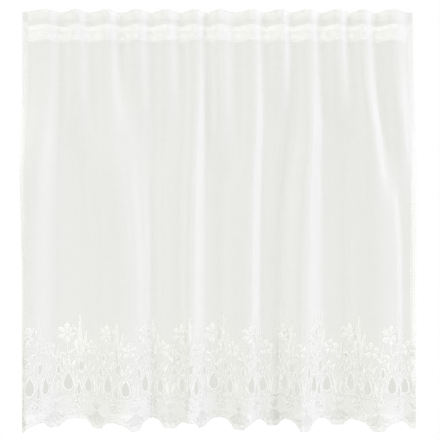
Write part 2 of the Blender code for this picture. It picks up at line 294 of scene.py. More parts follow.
def sheer_cloth(name, let_through, hex_code, glow_share=0.15):
    """let_through is the share of light that passes square on, glow_share the yarns' own glow."""
    made, tree = new_material(name)
    flat = add(tree, "ShaderNodeUVMap", {"uv_map": "flat"}).outputs["UV"]
    streaks = []
    for scale in ((STREAKS_ACROSS, STREAKS_ALONG, 1.0), (STREAKS_ALONG, STREAKS_ACROSS, 1.0)):
        drawn = add(tree, "ShaderNodeMapping", None, Vector=flat, Scale=scale).outputs[0]
        noise = add(tree, "ShaderNodeTexNoise", {"noise_dimensions": "2D"}, Vector=drawn, Scale=1.0)
        streaks.append(noise.outputs[0])
    yarn = add(tree, "ShaderNodeMath", {"operation": "ADD"}, _0=streaks[0], _1=streaks[1])
    gaps = add(
        tree,
        "ShaderNodeMapRange",
        None,
        Value=yarn.outputs[0],
        From_Min=0.6,
        From_Max=1.4,
        To_Min=let_through - UNEVENNESS,
        To_Max=let_through + UNEVENNESS,
    )
    facing = add(tree, "ShaderNodeLayerWeight", None, Blend=0.5).outputs["Facing"]

    def worked_out(operation, first, second):
        return add(tree, "ShaderNodeMath", {"operation": operation}, _0=first, _1=second).outputs[0]

    square_on = worked_out("SUBTRACT", 1.0, facing)
    limited = worked_out("MAXIMUM", square_on, SLANT_LIMIT)
    layers = worked_out("DIVIDE", 1.0, limited)
    open_share = worked_out("POWER", gaps.outputs[0], layers)
    woven_share = worked_out("SUBTRACT", 1.0, open_share)
    relief = add(tree, "ShaderNodeBump", None, Strength=0.15, Distance=0.2 * MM, Height=yarn.outputs[0])
    yarns = add(
        tree,
        "ShaderNodeBsdfPrincipled",
        None,
        Base_Color=linear(hex_code),
        Roughness=0.8,
        Sheen_Weight=0.25,
        Normal=relief.outputs[0],
    )
    glow = add(tree, "ShaderNodeBsdfTranslucent", None, Color=linear(hex_code))
    woven = add(tree, "ShaderNodeMixShader", None, _0=glow_share, _1=yarns.outputs[0], _2=glow.outputs[0])
    between = add(tree, "ShaderNodeBsdfTransparent").outputs[0]
    cloth = add(tree, "ShaderNodeMixShader", None, _0=woven_share, _1=between, _2=woven.outputs[0])
    add(tree, "ShaderNodeOutputMaterial", None, Surface=cloth.outputs[0])
    return made


# A pale haze that lets what is behind it show.
voile = sheer_cloth("polyester_voile", 0.62, "#E9E9E7")
# The foot of the lace is filled with fine understitching, so it looks milky.
lace_ground = sheer_cloth("embroidered_voile_ground", 0.34, "#E5E5E3")
# A side hem adds one layer of voile behind the cloth: a paler stripe. Its voile is also given a paler
# colour than the cloth's, painted light that lightens the stripe further.
pressed_hem_painted_paler = sheer_cloth("pressed_voile_hem_painted_light", 0.45, "#F6F6F4")
# The top hem adds two, pressed close, and is lit through from behind: a pale band. Its voile is also given
# a paler colour than the cloth's, painted light that lightens the band.
double_hem_painted_paler = sheer_cloth("double_turned_voile_hem_painted_light", 0.20, "#F6F6F4", 0.5)
# The hook pockets are a net of clear filament that hardly shows.
pocket_mesh = sheer_cloth("monofilament_pockets", 0.72, "#F4F4F2")
for cloth in (voile, lace_ground, pressed_hem_painted_paler, double_hem_painted_paler, pocket_mesh):
    print("made", cloth.name)

# %% [markdown]
# ## Thread and tape
#
# Embroidery thread is rayon: bright, a little silky, laid side by side in satin stitch. The stitches
# run across each form, so the ridges follow the form's own UV map, whose u is its length in metres.
# Real stitches are 0.4 mm apart; they are drawn 1.2 mm apart, or they would melt into a grey.
# The couched cords are duller, the tape is a dense ribbed weave, and the seams are sewn in matt
# polyester thread. All are thin enough for light from behind to glow through them.

# %% Thread, tape and seams
WAVE_FACTOR = 20


def threads(name, hex_code, roughness, sheen, pitch, depth, glow_share):
    """A laid thread. pitch is from ridge to ridge; the wave texture multiplies its place by 20."""
    made, tree = new_material(name)
    laid = add(tree, "ShaderNodeUVMap", {"uv_map": "flat"}).outputs["UV"]
    ridges = add(
        tree,
        "ShaderNodeTexWave",
        {"wave_type": "BANDS", "bands_direction": "X", "wave_profile": "SIN"},
        Vector=laid,
        Scale=math.tau / pitch / WAVE_FACTOR,
        Distortion=0.6,
    )
    ridge = ridges.outputs[1]
    uneven = add(tree, "ShaderNodeTexNoise", None, Vector=laid, Scale=180.0).outputs[0]
    height = add(tree, "ShaderNodeMath", {"operation": "MULTIPLY"}, _0=ridge, _1=uneven).outputs[0]
    relief = add(tree, "ShaderNodeBump", None, Strength=0.4, Distance=depth, Height=height)
    surface = add(
        tree,
        "ShaderNodeBsdfPrincipled",
        None,
        Base_Color=linear(hex_code),
        Roughness=roughness,
        Sheen_Weight=sheen,
        Normal=relief.outputs[0],
    )
    glow = add(tree, "ShaderNodeBsdfTranslucent", None, Color=linear(hex_code))
    yarn = add(tree, "ShaderNodeMixShader", None, _0=glow_share, _1=surface.outputs[0], _2=glow.outputs[0])
    add(tree, "ShaderNodeOutputMaterial", None, Surface=yarn.outputs[0])
    return made


# Silky and bright, with fine ridges across each form.
rayon = threads("rayon_embroidery_thread", "#F7F7F5", 0.5, 0.2, 1.2 * MM, 0.05 * MM, 0.6)
# Duller than rayon, so stems and rims stay calm beside the flowers.
couching_cord = threads("matt_couching_cord", "#F7F7F5", 0.75, 0.1, 1.0 * MM, 0.04 * MM, 0.5)
# A tight matt weave: the palest band of the heading.
tape_weave = threads("woven_polyester_tape", "#F5F5F3", 0.8, 0.15, 1.0 * MM, 0.05 * MM, 0.5)
# Matt, and nearly lost against the cloth, as good sewing is.
sewing_thread = threads("polyester_sewing_thread", "#F8F8F6", 0.7, 0.1, 0.8 * MM, 0.05 * MM, 0.4)
for thread in (rayon, couching_cord, tape_weave, sewing_thread):
    print("made", thread.name)

# %% [markdown]
# ## Openings in the lace
#
# Each repeat has two large drop-shaped openings and some slits, cut where the solids have them.
# They are listed from the left of the repeat and up from the lowest line of the hem.

# %% The cut-outs and the hem line
CutOut = namedtuple("CutOut", "across up width height")
CUT_OUTS = (
    CutOut(0.0310, 0.098, 0.0210, 0.040),
    CutOut(0.0760, 0.092, 0.0185, 0.036),
    CutOut(0.0540, 0.084, 0.0090, 0.032),
    CutOut(0.0580, 0.133, 0.0085, 0.028),
    CutOut(0.0100, 0.124, 0.0085, 0.022),
    CutOut(0.0510, 0.052, 0.0090, 0.009),
)
EDGE_SLIT = CUT_OUTS[4]
# The sine product of the outline peaks at 0.77, and this brings the drop to its full width.
DROP_SHAPE_WIDTH = 1.30
BUMP_WIDTH, BUMP_DEPTH = 0.0117, 0.0025


def drop_outline(cut, count, grow=0.0):
    """A drop, pointed at its top and wider near its foot, as flat points; grow widens it all round."""
    turns = np.linspace(0.0, math.tau, count, endpoint=False)
    x = cut.across + (cut.width / 2 + grow) * DROP_SHAPE_WIDTH * np.sin(turns) * np.abs(np.sin(turns / 2))
    y = cut.up - DROP + (cut.height / 2 + grow) * np.cos(turns)
    return np.column_stack([x, y])


def hem_line(x, bumps=BUMP_DEPTH):
    """The y of the scalloped hem at x, with three small bumps in each arch."""
    from_lobe = np.abs((x + REPEAT / 2) % REPEAT - REPEAT / 2)
    from_arch = REPEAT / 2 - from_lobe
    bump = np.where(from_arch < 1.5 * BUMP_WIDTH, np.abs(np.cos(math.pi * from_arch / BUMP_WIDTH)), 0.0)
    risen = np.clip((from_lobe - LOBE_HALF_FLAT) / LOBE_SLOPE, 0.0, 1.0)
    return -(DROP - LOBE_DEPTH * (1.0 - (1.0 - risen) ** 2) + bumps * bump)


print(len(CUT_OUTS), "openings a repeat, and one slit less in the first, under its side hem")

# %% [markdown]
# ## The panel
#
# The plain upper part is a regular grid. The lace needs holes, and a grid can't have holes of any
# shape, so one repeat is filled with triangles by Delaunay's method, with the outlines kept as
# edges. The repeat is then copied side by side, which is also how the machine works.


# %% One repeat of the lace's ground, cut out
HEM_STEPS = 54
RING_POINTS = 28
LACE_ROWS = np.linspace(-LACE_TOP, -DROP, 53)
CLEAR_OF_SIDE, CLEAR_OF_HEM, CLEAR_OF_OPENING = 0.002, 0.0025, 0.0015
TRIANGLES_WITHIN, SAME_PLACE = 1, 1e-7


def repeat_ground(cuts):
    """Flat points and triangles of one repeat, from the top of the lace to the hem."""
    across = np.linspace(0.0, REPEAT, HEM_STEPS + 1)
    side = [y for y in LACE_ROWS if y > hem_line(0.0) + CLEAR_OF_SIDE]
    border = [(x, -LACE_TOP) for x in across]
    border += [(REPEAT, y) for y in side[1:]]
    border += [(x, float(hem_line(x))) for x in across[::-1]]
    border += [(0.0, y) for y in side[:0:-1]]
    points = list(border)
    edges = [(i, (i + 1) % len(border)) for i in range(len(border))]
    ring_of = {}
    for number, cut in enumerate(cuts):
        first = len(points)
        edges += [(first + i, first + (i + 1) % RING_POINTS) for i in range(RING_POINTS)]
        ring_of.update({first + i: number for i in range(RING_POINTS)})
        points += [tuple(place) for place in drop_outline(cut, RING_POINTS)]

    def clear(x, y, cut):
        sideways = (x - cut.across) / (cut.width / 2 + CLEAR_OF_OPENING)
        upwards = (y + DROP - cut.up) / (cut.height / 2 + CLEAR_OF_OPENING)
        return sideways**2 + upwards**2 > 1.0

    # Every other row of loose points is shifted, so that the triangles come out even.
    for number, y in enumerate(LACE_ROWS[1:]):
        for x in across[2:-2:2] + (across[1] / 2) * (number % 2):
            within = CLEAR_OF_SIDE < x < REPEAT - CLEAR_OF_SIDE and y > hem_line(x) + CLEAR_OF_HEM
            if within and all(clear(x, y, cut) for cut in cuts):
                points.append((x, y))
    corners = [Vector(point) for point in points]
    flat, _, faces, origins, *_ = delaunay_2d_cdt(corners, edges, [], TRIANGLES_WITHIN, SAME_PLACE)
    # A triangle with all its corners on one ring fills an opening, and is left out.
    kept = []
    for face in faces:
        rings = {ring_of.get(origins[i][0]) for i in face}
        if len(rings) > 1 or None in rings:
            kept.append(list(face))
    return np.array([(p.x, p.y) for p in flat]), kept


ground_points, ground_faces = repeat_ground(CUT_OUTS)
first_points, first_faces = repeat_ground([cut for cut in CUT_OUTS if cut is not EDGE_SLIT])
print(len(ground_faces), "triangles in a repeat")


# %% The whole panel: plain part, eleven repeats, and the hems turned to the back
HEM_LAYER = 0.0005
TOP_TURN, SIDE_TURN = 0.002, 0.0012
SIDE_HEM_END = 0.010
FOOT_TOP = 0.066
CLOTH, FOOT_GROUND, SIDE_HEMS, UPPER_HEM = range(4)


def behind(distance, turn, layer=1):
    """Height, below zero, of a turned layer at a distance from its folded edge."""
    return -HEM_LAYER * layer * min(1.0, distance / turn)


def panel_mesh():
    """Flat points and faces of the panel, and how many faces are the cloth's single layer."""
    points, faces = [], []

    def put(places, polygons):
        first = len(points)
        points.extend(places)
        faces.extend([[first + i for i in polygon] for polygon in polygons])

    def put_grid(columns, rows, heights):
        places = [(x, y, heights(x, y)) for y in rows for x in columns]
        wide = len(columns)
        corners = [row * wide + column for row in range(len(rows) - 1) for column in range(wide - 1)]
        put(places, [(a, a + wide, a + wide + 1, a + 1) for a in corners])

    columns = np.linspace(0.0, FLAT_WIDTH, HEM_STEPS * REPEATS + 1)
    hem_rows = [0.0, -0.004, -TOP_HEM / 2, -TOP_HEM + 0.004, -TOP_HEM]
    tape_rows = [-(TOP_HEM + TAPE_TOP) / 2, -TAPE_TOP, -(TAPE_TOP + TAPE_BOTTOM) / 2, -TAPE_BOTTOM]
    rows = [*hem_rows, *tape_rows, *np.linspace(-TAPE_BOTTOM, -LACE_TOP, 48)[1:]]
    put_grid(columns, rows, lambda x, y: 0.0)
    for repeat in range(REPEATS):
        flat, polygons = (first_points, first_faces) if repeat == 0 else (ground_points, ground_faces)
        put([(x + repeat * REPEAT, y, 0.0) for x, y in flat], polygons)
    single = len(faces)
    for layer in (1, 2):
        put_grid(columns[::2], hem_rows, lambda x, y: behind(-y, TOP_TURN, layer))
    side_rows = [*rows, *[y for y in LACE_ROWS[1:] if y > -DROP + SIDE_HEM_END]]
    for edge, way in ((0.0, 1.0), (FLAT_WIDTH, -1.0)):
        widths = sorted(edge + way * inwards for inwards in (0.0, SIDE_TURN, SIDE_HEM / 2, SIDE_HEM))
        put_grid(widths, side_rows, lambda x, y: behind(abs(x - edge), SIDE_TURN))
    return np.array(points), faces, single


def cloth_object(name, flat, faces, materials):
    """A sheet as an object, with its flat place kept as the UV map called flat."""
    mesh = bpy.data.meshes.new(name)
    mesh.from_pydata([tuple(p) for p in flat], [], faces)
    piece = bpy.data.objects.new(name, mesh)
    bpy.context.scene.collection.objects.link(piece)
    for material in materials:
        mesh.materials.append(material)
    layer = mesh.uv_layers.new(name="flat")
    corner_vertices = np.empty(len(mesh.loops), dtype=int)
    mesh.loops.foreach_get("vertex_index", corner_vertices)
    layer.data.foreach_set("uv", flat[corner_vertices, :2].ravel())
    return piece


panel_flat, panel_faces, single_faces = panel_mesh()
panel_cloths = [voile, lace_ground, pressed_hem_painted_paler, double_hem_painted_paler]
panel = cloth_object("voile_panel", panel_flat, panel_faces, panel_cloths)
for face in panel.data.polygons[single_faces:]:
    face.material_index = SIDE_HEMS
print(len(panel.data.polygons), "faces before welding")

# %% Weld the repeats, mark the dense foot of the lace and the top hem, and hang the panel
WELD_DISTANCE = 0.02 * MM


def weld(piece, distance):
    """Joins the points that lie this close together."""
    shape = bmesh.new()
    shape.from_mesh(piece.data)
    bmesh.ops.remove_doubles(shape, verts=shape.verts, dist=distance)
    shape.to_mesh(piece.data)
    shape.free()


weld(panel, WELD_DISTANCE)
for face in panel.data.polygons:
    if face.material_index == CLOTH and face.center.y < FOOT_TOP - DROP:
        face.material_index = FOOT_GROUND
    if face.material_index == SIDE_HEMS and face.center.y > -TOP_HEM:
        face.material_index = UPPER_HEM
hang(panel)
smooth(panel)
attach(panel, "root")
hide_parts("panel")
print(len(panel.data.polygons), "faces after welding")

# %% [markdown]
# ## Satin-stitched forms
#
# Petals, leaves and knots are all the same thing to an embroiderer: a narrow shape filled with
# stitches that lie across it, higher along its middle. So one function makes them all by hand from
# a grid: each column of the grid is scaled to the form's width there and its middle is lifted.
# A mirror gives the wrong side, because satin stitch is as thick behind the cloth as before it.


# %% Make one stitched form from a table of widths
SHOULDER, LEAST_HEIGHT = 0.72, 0.25
NEAR = 0.001
SET_ASIDE = 2.0


def only(*pieces):
    """Selects just these objects and makes the first active."""
    bpy.ops.object.select_all(action="DESELECT")
    for piece in pieces:
        piece.select_set(True)
    bpy.context.view_layer.objects.active = pieces[0]


def stitched_form(name, length, outline, rise):
    """A form along x from 0 to length. outline lists (share of the length, half its width in metres)."""
    bpy.ops.object.select_all(action="DESELECT")
    bpy.ops.mesh.primitive_grid_add(x_subdivisions=len(outline) - 1, y_subdivisions=4, size=1.0)
    form = bpy.context.object
    form.name = name
    columns = sorted({round(v.co.x, 4) for v in form.data.vertices})
    rows = sorted({round(v.co.y, 4) for v in form.data.vertices})
    widest = max(width for _, width in outline)

    def pick(column, chosen_rows):
        for part in (*form.data.edges, *form.data.polygons):
            part.select = False
        for v in form.data.vertices:
            in_row = any(abs(v.co.y - row) < NEAR for row in chosen_rows)
            v.select = abs(v.co.x - column) < NEAR and in_row

    lifts = {rows[1]: SHOULDER, rows[2]: 1.0, rows[3]: SHOULDER}
    for column, (_, width) in zip(columns, outline):
        height = rise * (LEAST_HEIGHT + (1.0 - LEAST_HEIGHT) * width / widest)
        for row, part in lifts.items():
            pick(column, [row])
            bpy.ops.object.mode_set(mode="EDIT")
            bpy.ops.transform.translate(value=(0.0, 0.0, height * part))
            bpy.ops.object.mode_set(mode="OBJECT")
    # Each column moves to a clear place first, or it could be picked again with the next one.
    for column, (share, width) in reversed(list(zip(columns, outline))):
        pick(column, rows)
        bpy.ops.object.mode_set(mode="EDIT")
        bpy.ops.transform.resize(value=(1.0, width * 2, 1.0), center_override=(column, 0.0, 0.0))
        bpy.ops.transform.translate(value=(SET_ASIDE + share * length - column, 0.0, 0.0))
        bpy.ops.object.mode_set(mode="OBJECT")
    form.data.transform(Matrix.Translation((-SET_ASIDE, 0.0, 0.0)))
    wrong_side = form.modifiers.new("Wrong side", "MIRROR")
    wrong_side.use_axis = (False, False, True)
    wrong_side.merge_threshold = WELD_DISTANCE
    bpy.ops.object.modifier_apply(modifier=wrong_side.name)
    return form


def add_stitch_uv(form):
    """u is the length along the form and v its width, both in metres."""
    mesh = form.data
    while mesh.uv_layers:
        mesh.uv_layers.remove(mesh.uv_layers[0])
    layer = mesh.uv_layers.new(name="flat")
    for loop in mesh.loops:
        place = mesh.vertices[loop.vertex_index].co
        layer.data[loop.index].uv = (place.x, place.y)
    return form


PETAL = ((0.0, 0.0012), (0.15, 0.0028), (0.4, 0.0052), (0.65, 0.0066), (0.85, 0.0056), (1.0, 0.0022))
LEAF = ((0.0, 0.0006), (0.12, 0.0022), (0.35, 0.0042), (0.6, 0.0040), (0.85, 0.0018), (1.0, 0.0004))
BLADE = ((0.0, 0.0010), (0.1, 0.0026), (0.3, 0.0044), (0.55, 0.0042), (0.8, 0.0026), (1.0, 0.0003))
KNOT = ((0.0, 0.0004), (0.2, 0.0012), (0.5, 0.0016), (0.8, 0.0012), (1.0, 0.0004))
petal = add_stitch_uv(stitched_form("petal", 0.018, PETAL, 0.0006))
leaf = add_stitch_uv(stitched_form("leaf", 0.030, LEAF, 0.0005))
blade = add_stitch_uv(stitched_form("blade", 0.090, BLADE, 0.0005))
knot = add_stitch_uv(stitched_form("knot", 0.0034, KNOT, 0.0006))
print("petal", tuple(round(s * 1000, 1) for s in petal.dimensions), "mm")

# %% [markdown]
# ## Lay the motif out on one repeat
#
# Every form in a repeat is a copy of one of the four, turned and sized. Places are in millimetres:
# across from the left of the repeat, and up from the hem's lowest line, as on an embroidery chart.


# %% The chart's helpers
FULLNESS = 0.3375


def laid(form, across, up, turn, length=None, width=1.0):
    """A copy of a form on the chart. turn is in degrees, anticlockwise from pointing right."""
    copy = form.copy()
    copy.data = form.data.copy()
    bpy.context.scene.collection.objects.link(copy)
    stretch = length * MM / form.dimensions.x if length else 1.0
    place = Matrix.Translation((across * MM, up * MM - DROP, 0.0))
    sized = Matrix.Diagonal((stretch, width, 1.0, 1.0))
    copy.data.transform(place @ Matrix.Rotation(math.radians(turn), 4, "Z") @ sized)
    return copy


def ring_places(count, radius, turned=0):
    """Turns of evenly spaced places on a ring, each with its place beside and above the middle."""
    for number in range(count):
        turn = turned + 360 / count * number
        out = math.radians(turn)
        yield turn, radius * math.cos(out), radius * math.sin(out)


def rosette(across, up, petals, gap, length, width, turned=0):
    """Petals that point away from an open middle, each starting gap millimetres from it."""
    places = ring_places(petals, gap, turned)
    return [laid(petal, across + x, up + y, turn, length, width) for turn, x, y in places]


def flower(across, up, petals, length):
    """A rosette with one petal upright and a ring of knots in its middle."""
    width = FULLNESS / petals * length
    made = rosette(across, up, petals, 4.2, length, width, 90)
    for _, x, y in ring_places(7, 2.2):
        made.append(laid(knot, across + x - 1.6, up + y, 0))
    return made


def fan(across, up, turns, length, width):
    """Petals that spread from one place, at these turns."""
    return [laid(petal, across, up, turn, length, width) for turn in turns]


def join(name, parts, material):
    """One piece of one material from these copies."""
    only(*parts)
    bpy.ops.object.join()
    joined = bpy.context.object
    joined.name = joined.data.name = name
    joined.data.materials.clear()
    joined.data.materials.append(material)
    return joined


print("a petal is", len(petal.data.polygons), "faces")

# %% Flowers of one repeat
flowers = flower(28, 202, 6, 18.0) + flower(84, 170, 5, 13.5)
flowers += rosette(51, 52, 8, 5.6, 9.5, 0.5)
flowers = join("embroidered_flowers", flowers, rayon)
print(len(flowers.data.polygons), "faces of flowers in a repeat")

# %% Leaves and blades of one repeat
leaves = [
    laid(blade, 55.9, 150, 90, 94, 1.15),
    laid(blade, 52.3, 152, 100, 72, 0.95),
    laid(blade, 60.5, 152, 79, 62, 0.95),
    laid(blade, 10.1, 140, 91, 40, 0.95),
    laid(leaf, 25.7, 122, 104, 34, 0.9),
    laid(leaf, 35.8, 120, 66, 32, 0.9),
    laid(leaf, 28.4, 150, 142, 21, 0.9),
    laid(leaf, 29.3, 156, 34, 21, 0.9),
    laid(leaf, 72.4, 114, 112, 30, 0.85),
    laid(leaf, 80.7, 112, 58, 30, 0.85),
    laid(leaf, 9.2, 140, 128, 22, 0.8),
    laid(leaf, 11, 140, 55, 22, 0.8),
    laid(leaf, -3.7, 70, 100, 40, 1.0),
    laid(leaf, 4.6, 70, 76, 38, 1.0),
]
leaves = join("embroidered_leaves", leaves, rayon)
print(len(leaves.data.polygons), "faces of leaves in a repeat")

# %% The palmette in each lobe, the fan above it, and two rows of knots
RAIL_KNOTS, FOOT_KNOTS = 17, 9
KNOT_HALF = 1.7
foot = fan(0, 36, (-90, -62, -34, -118, -146), 28, 0.85)
foot += fan(0, 40, (90, 52, 128), 20, 0.75)
for step in range(RAIL_KNOTS):
    x = (step + 0.5) * REPEAT / RAIL_KNOTS / MM
    between_rails = (float(hem_line(x * MM, 0.0)) + DROP) / MM + 9.5
    foot.append(laid(knot, x - KNOT_HALF, between_rails, 0))
for step in range(FOOT_KNOTS):
    x = (step + 0.5) * REPEAT / FOOT_KNOTS / MM
    foot.append(laid(knot, x - KNOT_HALF, 62.0, 0, 4.4, 1.3))
foot = join("embroidered_palmettes", foot, couching_cord)
print(len(foot.data.polygons), "faces of palmettes in a repeat")

# %% [markdown]
# ## Couched cords: stems, rims and the scalloped edge
#
# A rim round a hole, a stem and the edge of the hem are cords of thread, closed by tight stitches.
# A curve with a bevel would do, but it carries no thread direction. So each cord is swept by a few
# lines of mesh code that also write the UV map: u along the cord, v round it.


# %% Sweep a flat cord along a path
Cord = namedtuple("Cord", "path width rise closed", defaults=[False])
CORD_SIDES, THIN_END = 6, 0.35


def couched_cord(path, width, rise, closed):
    """Points, faces and lengths along it of a cord, with an oval section, that lies on a flat path."""
    ahead = np.roll(path, -1, 0) - np.roll(path, 1, 0)
    if not closed:
        ahead[0], ahead[-1] = path[1] - path[0], path[-1] - path[-2]
    ahead /= np.linalg.norm(ahead, axis=1, keepdims=True)
    aside = np.column_stack([-ahead[:, 1], ahead[:, 0]])
    around = np.linspace(0.0, math.tau, CORD_SIDES, endpoint=False)
    taper = np.ones(len(path))
    if not closed:
        taper[[0, -1]] = THIN_END
    points = [
        (*(place + side * math.cos(a) * width / 2 * thin), math.sin(a) * rise * thin)
        for place, side, thin in zip(path, aside, taper)
        for a in around
    ]
    count = len(path)
    faces = []
    for i in range(count if closed else count - 1):
        j = (i + 1) % count
        for a in range(CORD_SIDES):
            b = (a + 1) % CORD_SIDES
            faces.append((i * CORD_SIDES + a, j * CORD_SIDES + a, j * CORD_SIDES + b, i * CORD_SIDES + b))
    if not closed:
        faces.append(tuple(range(CORD_SIDES)))
        faces.append(tuple((count - 1) * CORD_SIDES + a for a in reversed(range(CORD_SIDES))))
    gaps = np.linalg.norm(np.diff(path, axis=0), axis=1)
    along = np.concatenate([[0.0], np.cumsum(gaps)])
    return points, faces, np.repeat(along, CORD_SIDES)


def cords(name, runs, material):
    """One object from several cords."""
    points, faces, lengths = [], [], []
    for run in runs:
        more, polygons, along = couched_cord(*run)
        faces += [tuple(len(points) + i for i in polygon) for polygon in polygons]
        points += more
        lengths += list(along)
    mesh = bpy.data.meshes.new(name)
    mesh.from_pydata(points, [], faces)
    mesh.materials.append(material)
    layer = mesh.uv_layers.new(name="flat")
    for loop in mesh.loops:
        layer.data[loop.index].uv = (lengths[loop.vertex_index], points[loop.vertex_index][2])
    piece = bpy.data.objects.new(name, mesh)
    bpy.context.scene.collection.objects.link(piece)
    shape = bmesh.new()
    shape.from_mesh(mesh)
    bmesh.ops.recalc_face_normals(shape, faces=shape.faces)
    shape.to_mesh(mesh)
    shape.free()
    return piece


def curve_through(marks, count):
    """A smooth path through chart places in millimetres, as cubic Hermite pieces."""
    marks = np.array(marks, float)
    t = np.linspace(0, len(marks) - 1, count)
    cell = np.minimum(t.astype(int), len(marks) - 2)
    slope = np.gradient(marks, axis=0)
    f = (t - cell)[:, None]
    path = (2 * f**3 - 3 * f**2 + 1) * marks[cell] + (3 * f**2 - 2 * f**3) * marks[cell + 1]
    path += (f**3 - 2 * f**2 + f) * slope[cell] + (f**3 - f**2) * slope[cell + 1]
    return path * MM + np.array([0.0, -DROP])


print("a stem of 3 marks becomes", len(curve_through([(0, 0), (1, 9), (2, 18)], 12)), "points")

# %% Rims of the openings, and the stems
STEM_POINTS = 12
rims = [Cord(drop_outline(cut, 30, 0.8 * MM), 2.8 * MM, 0.4 * MM, True) for cut in CUT_OUTS]
stems = [
    ((31.2, 119), (31.2, 138), (29.3, 158), (28, 176)),
    ((76.1, 111), (77.9, 124), (81.6, 136), (84, 145)),
    ((55.9, 148), (55, 158), (55.5, 172), (55.9, 186)),
    ((10.1, 136), (10.1, 150), (11, 166), (10.1, 182)),
    ((18.3, 68), (17.4, 84), (17.4, 100), (18.8, 114)),
    ((18.8, 114), (21.1, 126), (24.8, 140), (27.5, 160)),
    ((44, 68), (44.9, 86), (43.1, 104), (38.5, 122)),
    ((38.5, 122), (34.8, 136), (32.1, 148), (30.3, 160)),
    ((64.2, 68), (63.7, 84), (64.2, 100), (68.8, 114)),
    ((68.8, 114), (73.3, 124), (77, 132), (80.7, 142)),
    ((88, 68), (89.8, 84), (88.9, 100), (86.2, 114)),
    ((86.2, 114), (84.3, 126), (84.3, 136), (84.3, 145)),
    ((49.5, 68), (47.7, 88), (49.5, 108), (52.3, 122)),
    ((52.3, 122), (52.3, 132), (53.2, 142), (55.9, 152)),
    ((59.1, 68), (61.4, 88), (60.5, 106), (63.3, 122)),
    ((63.3, 122), (64.2, 134), (62.3, 146), (58.7, 152)),
    ((0, 60), (-1.8, 84), (-0.9, 104), (5.5, 122)),
    ((5.5, 60), (10.1, 84), (11.9, 100), (15.1, 118)),
]
stem_runs = [Cord(curve_through(marks, STEM_POINTS), 2.0 * MM, 0.4 * MM) for marks in stems]
rim_piece = cords("satin_rims", rims, couching_cord)
stem_piece = cords("embroidered_stems", stem_runs, couching_cord)
print(len(rims), "rims and", len(stems), "stems in a repeat")

# %% [markdown]
# ## Repeat, then hang
#
# An Array modifier sets the repeats side by side. Leaves, palmettes and stems reach past the left of
# their repeat, so they get a twelfth, whose left part falls on the cloth's right edge. What lies off
# the cloth is cut away.

# %% The repeats in the folds
EDGE_MARGIN = 0.8 * MM


def cut_at_edges(piece):
    """Cuts off what lies beyond the two sides of the flat cloth and closes the cut."""
    only(piece)
    for place, way in ((EDGE_MARGIN, -1.0), (FLAT_WIDTH - EDGE_MARGIN, 1.0)):
        bpy.ops.object.mode_set(mode="EDIT")
        bpy.ops.mesh.select_all(action="SELECT")
        bpy.ops.mesh.bisect(
            plane_co=(place, 0.0, 0.0),
            plane_no=(way, 0.0, 0.0),
            clear_outer=True,
            use_fill=True,
            threshold=0.01 * MM,
        )
        bpy.ops.object.mode_set(mode="OBJECT")


def repeat_and_hang(piece, count):
    """Sets copies of one repeat side by side, trims them to the cloth and hangs them with it."""
    only(piece)
    row = piece.modifiers.new("Repeats", "ARRAY")
    row.use_relative_offset = False
    row.use_constant_offset = True
    row.constant_offset_displace = (REPEAT, 0.0, 0.0)
    row.count = count
    bpy.ops.object.modifier_apply(modifier=row.name)
    cut_at_edges(piece)
    hang(piece)
    smooth(piece)
    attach(piece, "root")


for piece, count in (
    (flowers, REPEATS),
    (leaves, REPEATS + 1),
    (foot, REPEATS + 1),
    (rim_piece, REPEATS),
    (stem_piece, REPEATS + 1),
):
    repeat_and_hang(piece, count)
    print(piece.name, len(piece.data.polygons), "faces")
for form in (petal, leaf, blade, knot):
    bpy.data.objects.remove(form, do_unlink=True)

# %% [markdown]
# ## The scalloped edge and its rails
#
# The hem is closed by one continuous row of satin stitch that follows the lobes and arches. Two
# finer rails run above it, and a straight one closes the dense foot of the lace.

# %% Edge and rails
EDGE_POINTS = 820
hem_x = np.linspace(1.2 * MM, FLAT_WIDTH - 1.2 * MM, EDGE_POINTS)
edge_runs = [
    Cord(np.column_stack([hem_x, hem_line(hem_x) + 1.4 * MM]), 3.4 * MM, 0.5 * MM),
    Cord(np.column_stack([hem_x, hem_line(hem_x, 0.0) + 6.2 * MM]), 1.6 * MM, 0.4 * MM),
    Cord(np.column_stack([hem_x, hem_line(hem_x, 0.0) + 13.0 * MM]), 1.6 * MM, 0.4 * MM),
    Cord(np.column_stack([hem_x, np.full(EDGE_POINTS, FOOT_TOP - DROP)]), 2.6 * MM, 0.4 * MM),
]
edging = cords("scalloped_edging", edge_runs, couching_cord)
hang(edging)
smooth(edging)
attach(edging, "root")
print("the edging has", len(edging.data.polygons), "faces")

# %% [markdown]
# ## The heading tape
#
# Gathering tape is a stiff woven strip with two draw cords in it and a row of woven pockets for the
# hooks. It is sewn to the back of the cloth along both its edges. The section of the strip's back,
# with a ridge over each cord, is written as a short profile of places down and heights, swept along
# the flat cloth, and hung behind it. The strip is one open sheet, as the panel is, because a closed
# one would hold back the light that makes the tape the palest band.

# %% Weave the strip with its cords
TAPE_GAP = 1.2 * MM
TAPE_COLUMNS = 480
PROFILE = (
    (0.0000, 0.0006),
    (0.0022, 0.0010),
    (0.0070, 0.0010),
    (0.0082, 0.0021),
    (0.0096, 0.0021),
    (0.0108, 0.0010),
    (0.0232, 0.0010),
    (0.0244, 0.0021),
    (0.0258, 0.0021),
    (0.0270, 0.0010),
    (0.0318, 0.0010),
    (0.0340, 0.0006),
)
tape_x = np.linspace(TAPE_INSET, FLAT_WIDTH - TAPE_INSET, TAPE_COLUMNS)
tape_flat = np.array([(x, -TAPE_TOP - down, -TAPE_GAP - rise) for x in tape_x for down, rise in PROFILE])


def column_faces(columns, rows, first=0):
    """Faces of a sheet whose points are listed column by column."""
    corners = [first + c * rows + r for c in range(columns - 1) for r in range(rows - 1)]
    return [(a, a + rows, a + rows + 1, a + 1) for a in corners]


